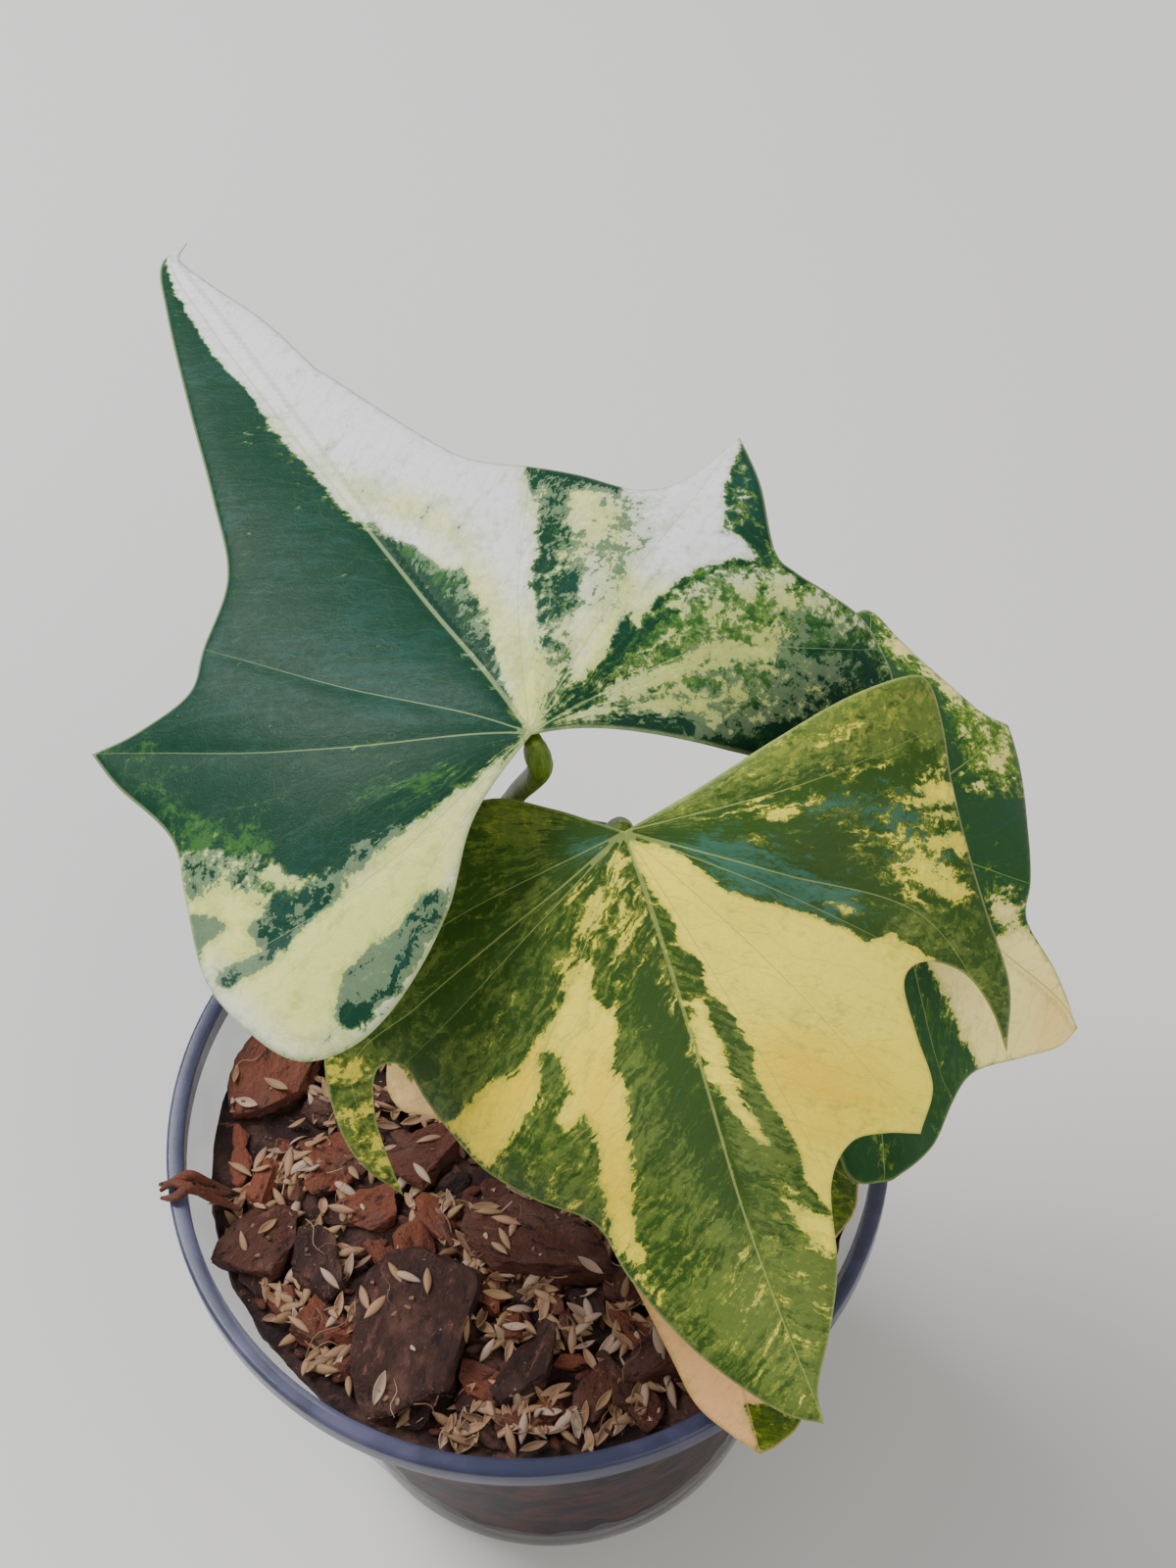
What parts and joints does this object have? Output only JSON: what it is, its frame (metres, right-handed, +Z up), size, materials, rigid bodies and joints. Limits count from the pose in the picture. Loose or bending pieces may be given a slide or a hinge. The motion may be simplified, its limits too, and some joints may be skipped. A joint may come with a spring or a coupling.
{
  "type": "potted pterodactyl anthurium",
  "caption": "Variegated aroid with broad lobed blades on long stalks, growing from a short stem in bark and husk mix in a clear tapered nursery pot with a rolled rim and drain slots.",
  "frame": {"origin": "middle of the pot's flat base, on the surface that it stands on", "axes": "+Z up out of the pot, -Y towards the viewer of the picture, +X to the viewer's right"},
  "size_m": [0.1896, 0.2463, 0.2419],
  "materials": {
    "pot_plastic": "clear bluish plastic, glossy",
    "bark_mix": "rough red-brown bark chips with tan husks",
    "stem_skin": "matte, scarred green-brown",
    "stalk_skin": "smooth olive green, half matte",
    "leaf_back_skin": "satin dark green with ivory sectors",
    "leaf_front_skin": "satin yellow-cream with green sectors",
    "leaf_right_skin": "satin dark green with a cream tip",
    "leaf_under_skin": "satin pinkish cream"
  },
  "bodies": {
    "root": {"pot": "pot_plastic", "substrate": "bark_mix", "stem": "stem_skin", "leaf_back": "leaf_back_skin", "petiole_back": "stalk_skin", "leaf_front": "leaf_front_skin", "petiole_front": "stalk_skin", "leaf_right": "leaf_right_skin", "petiole_right": "stalk_skin", "leaf_under": "leaf_under_skin", "petiole_under": "stalk_skin"}
  },
  "joints": []
}
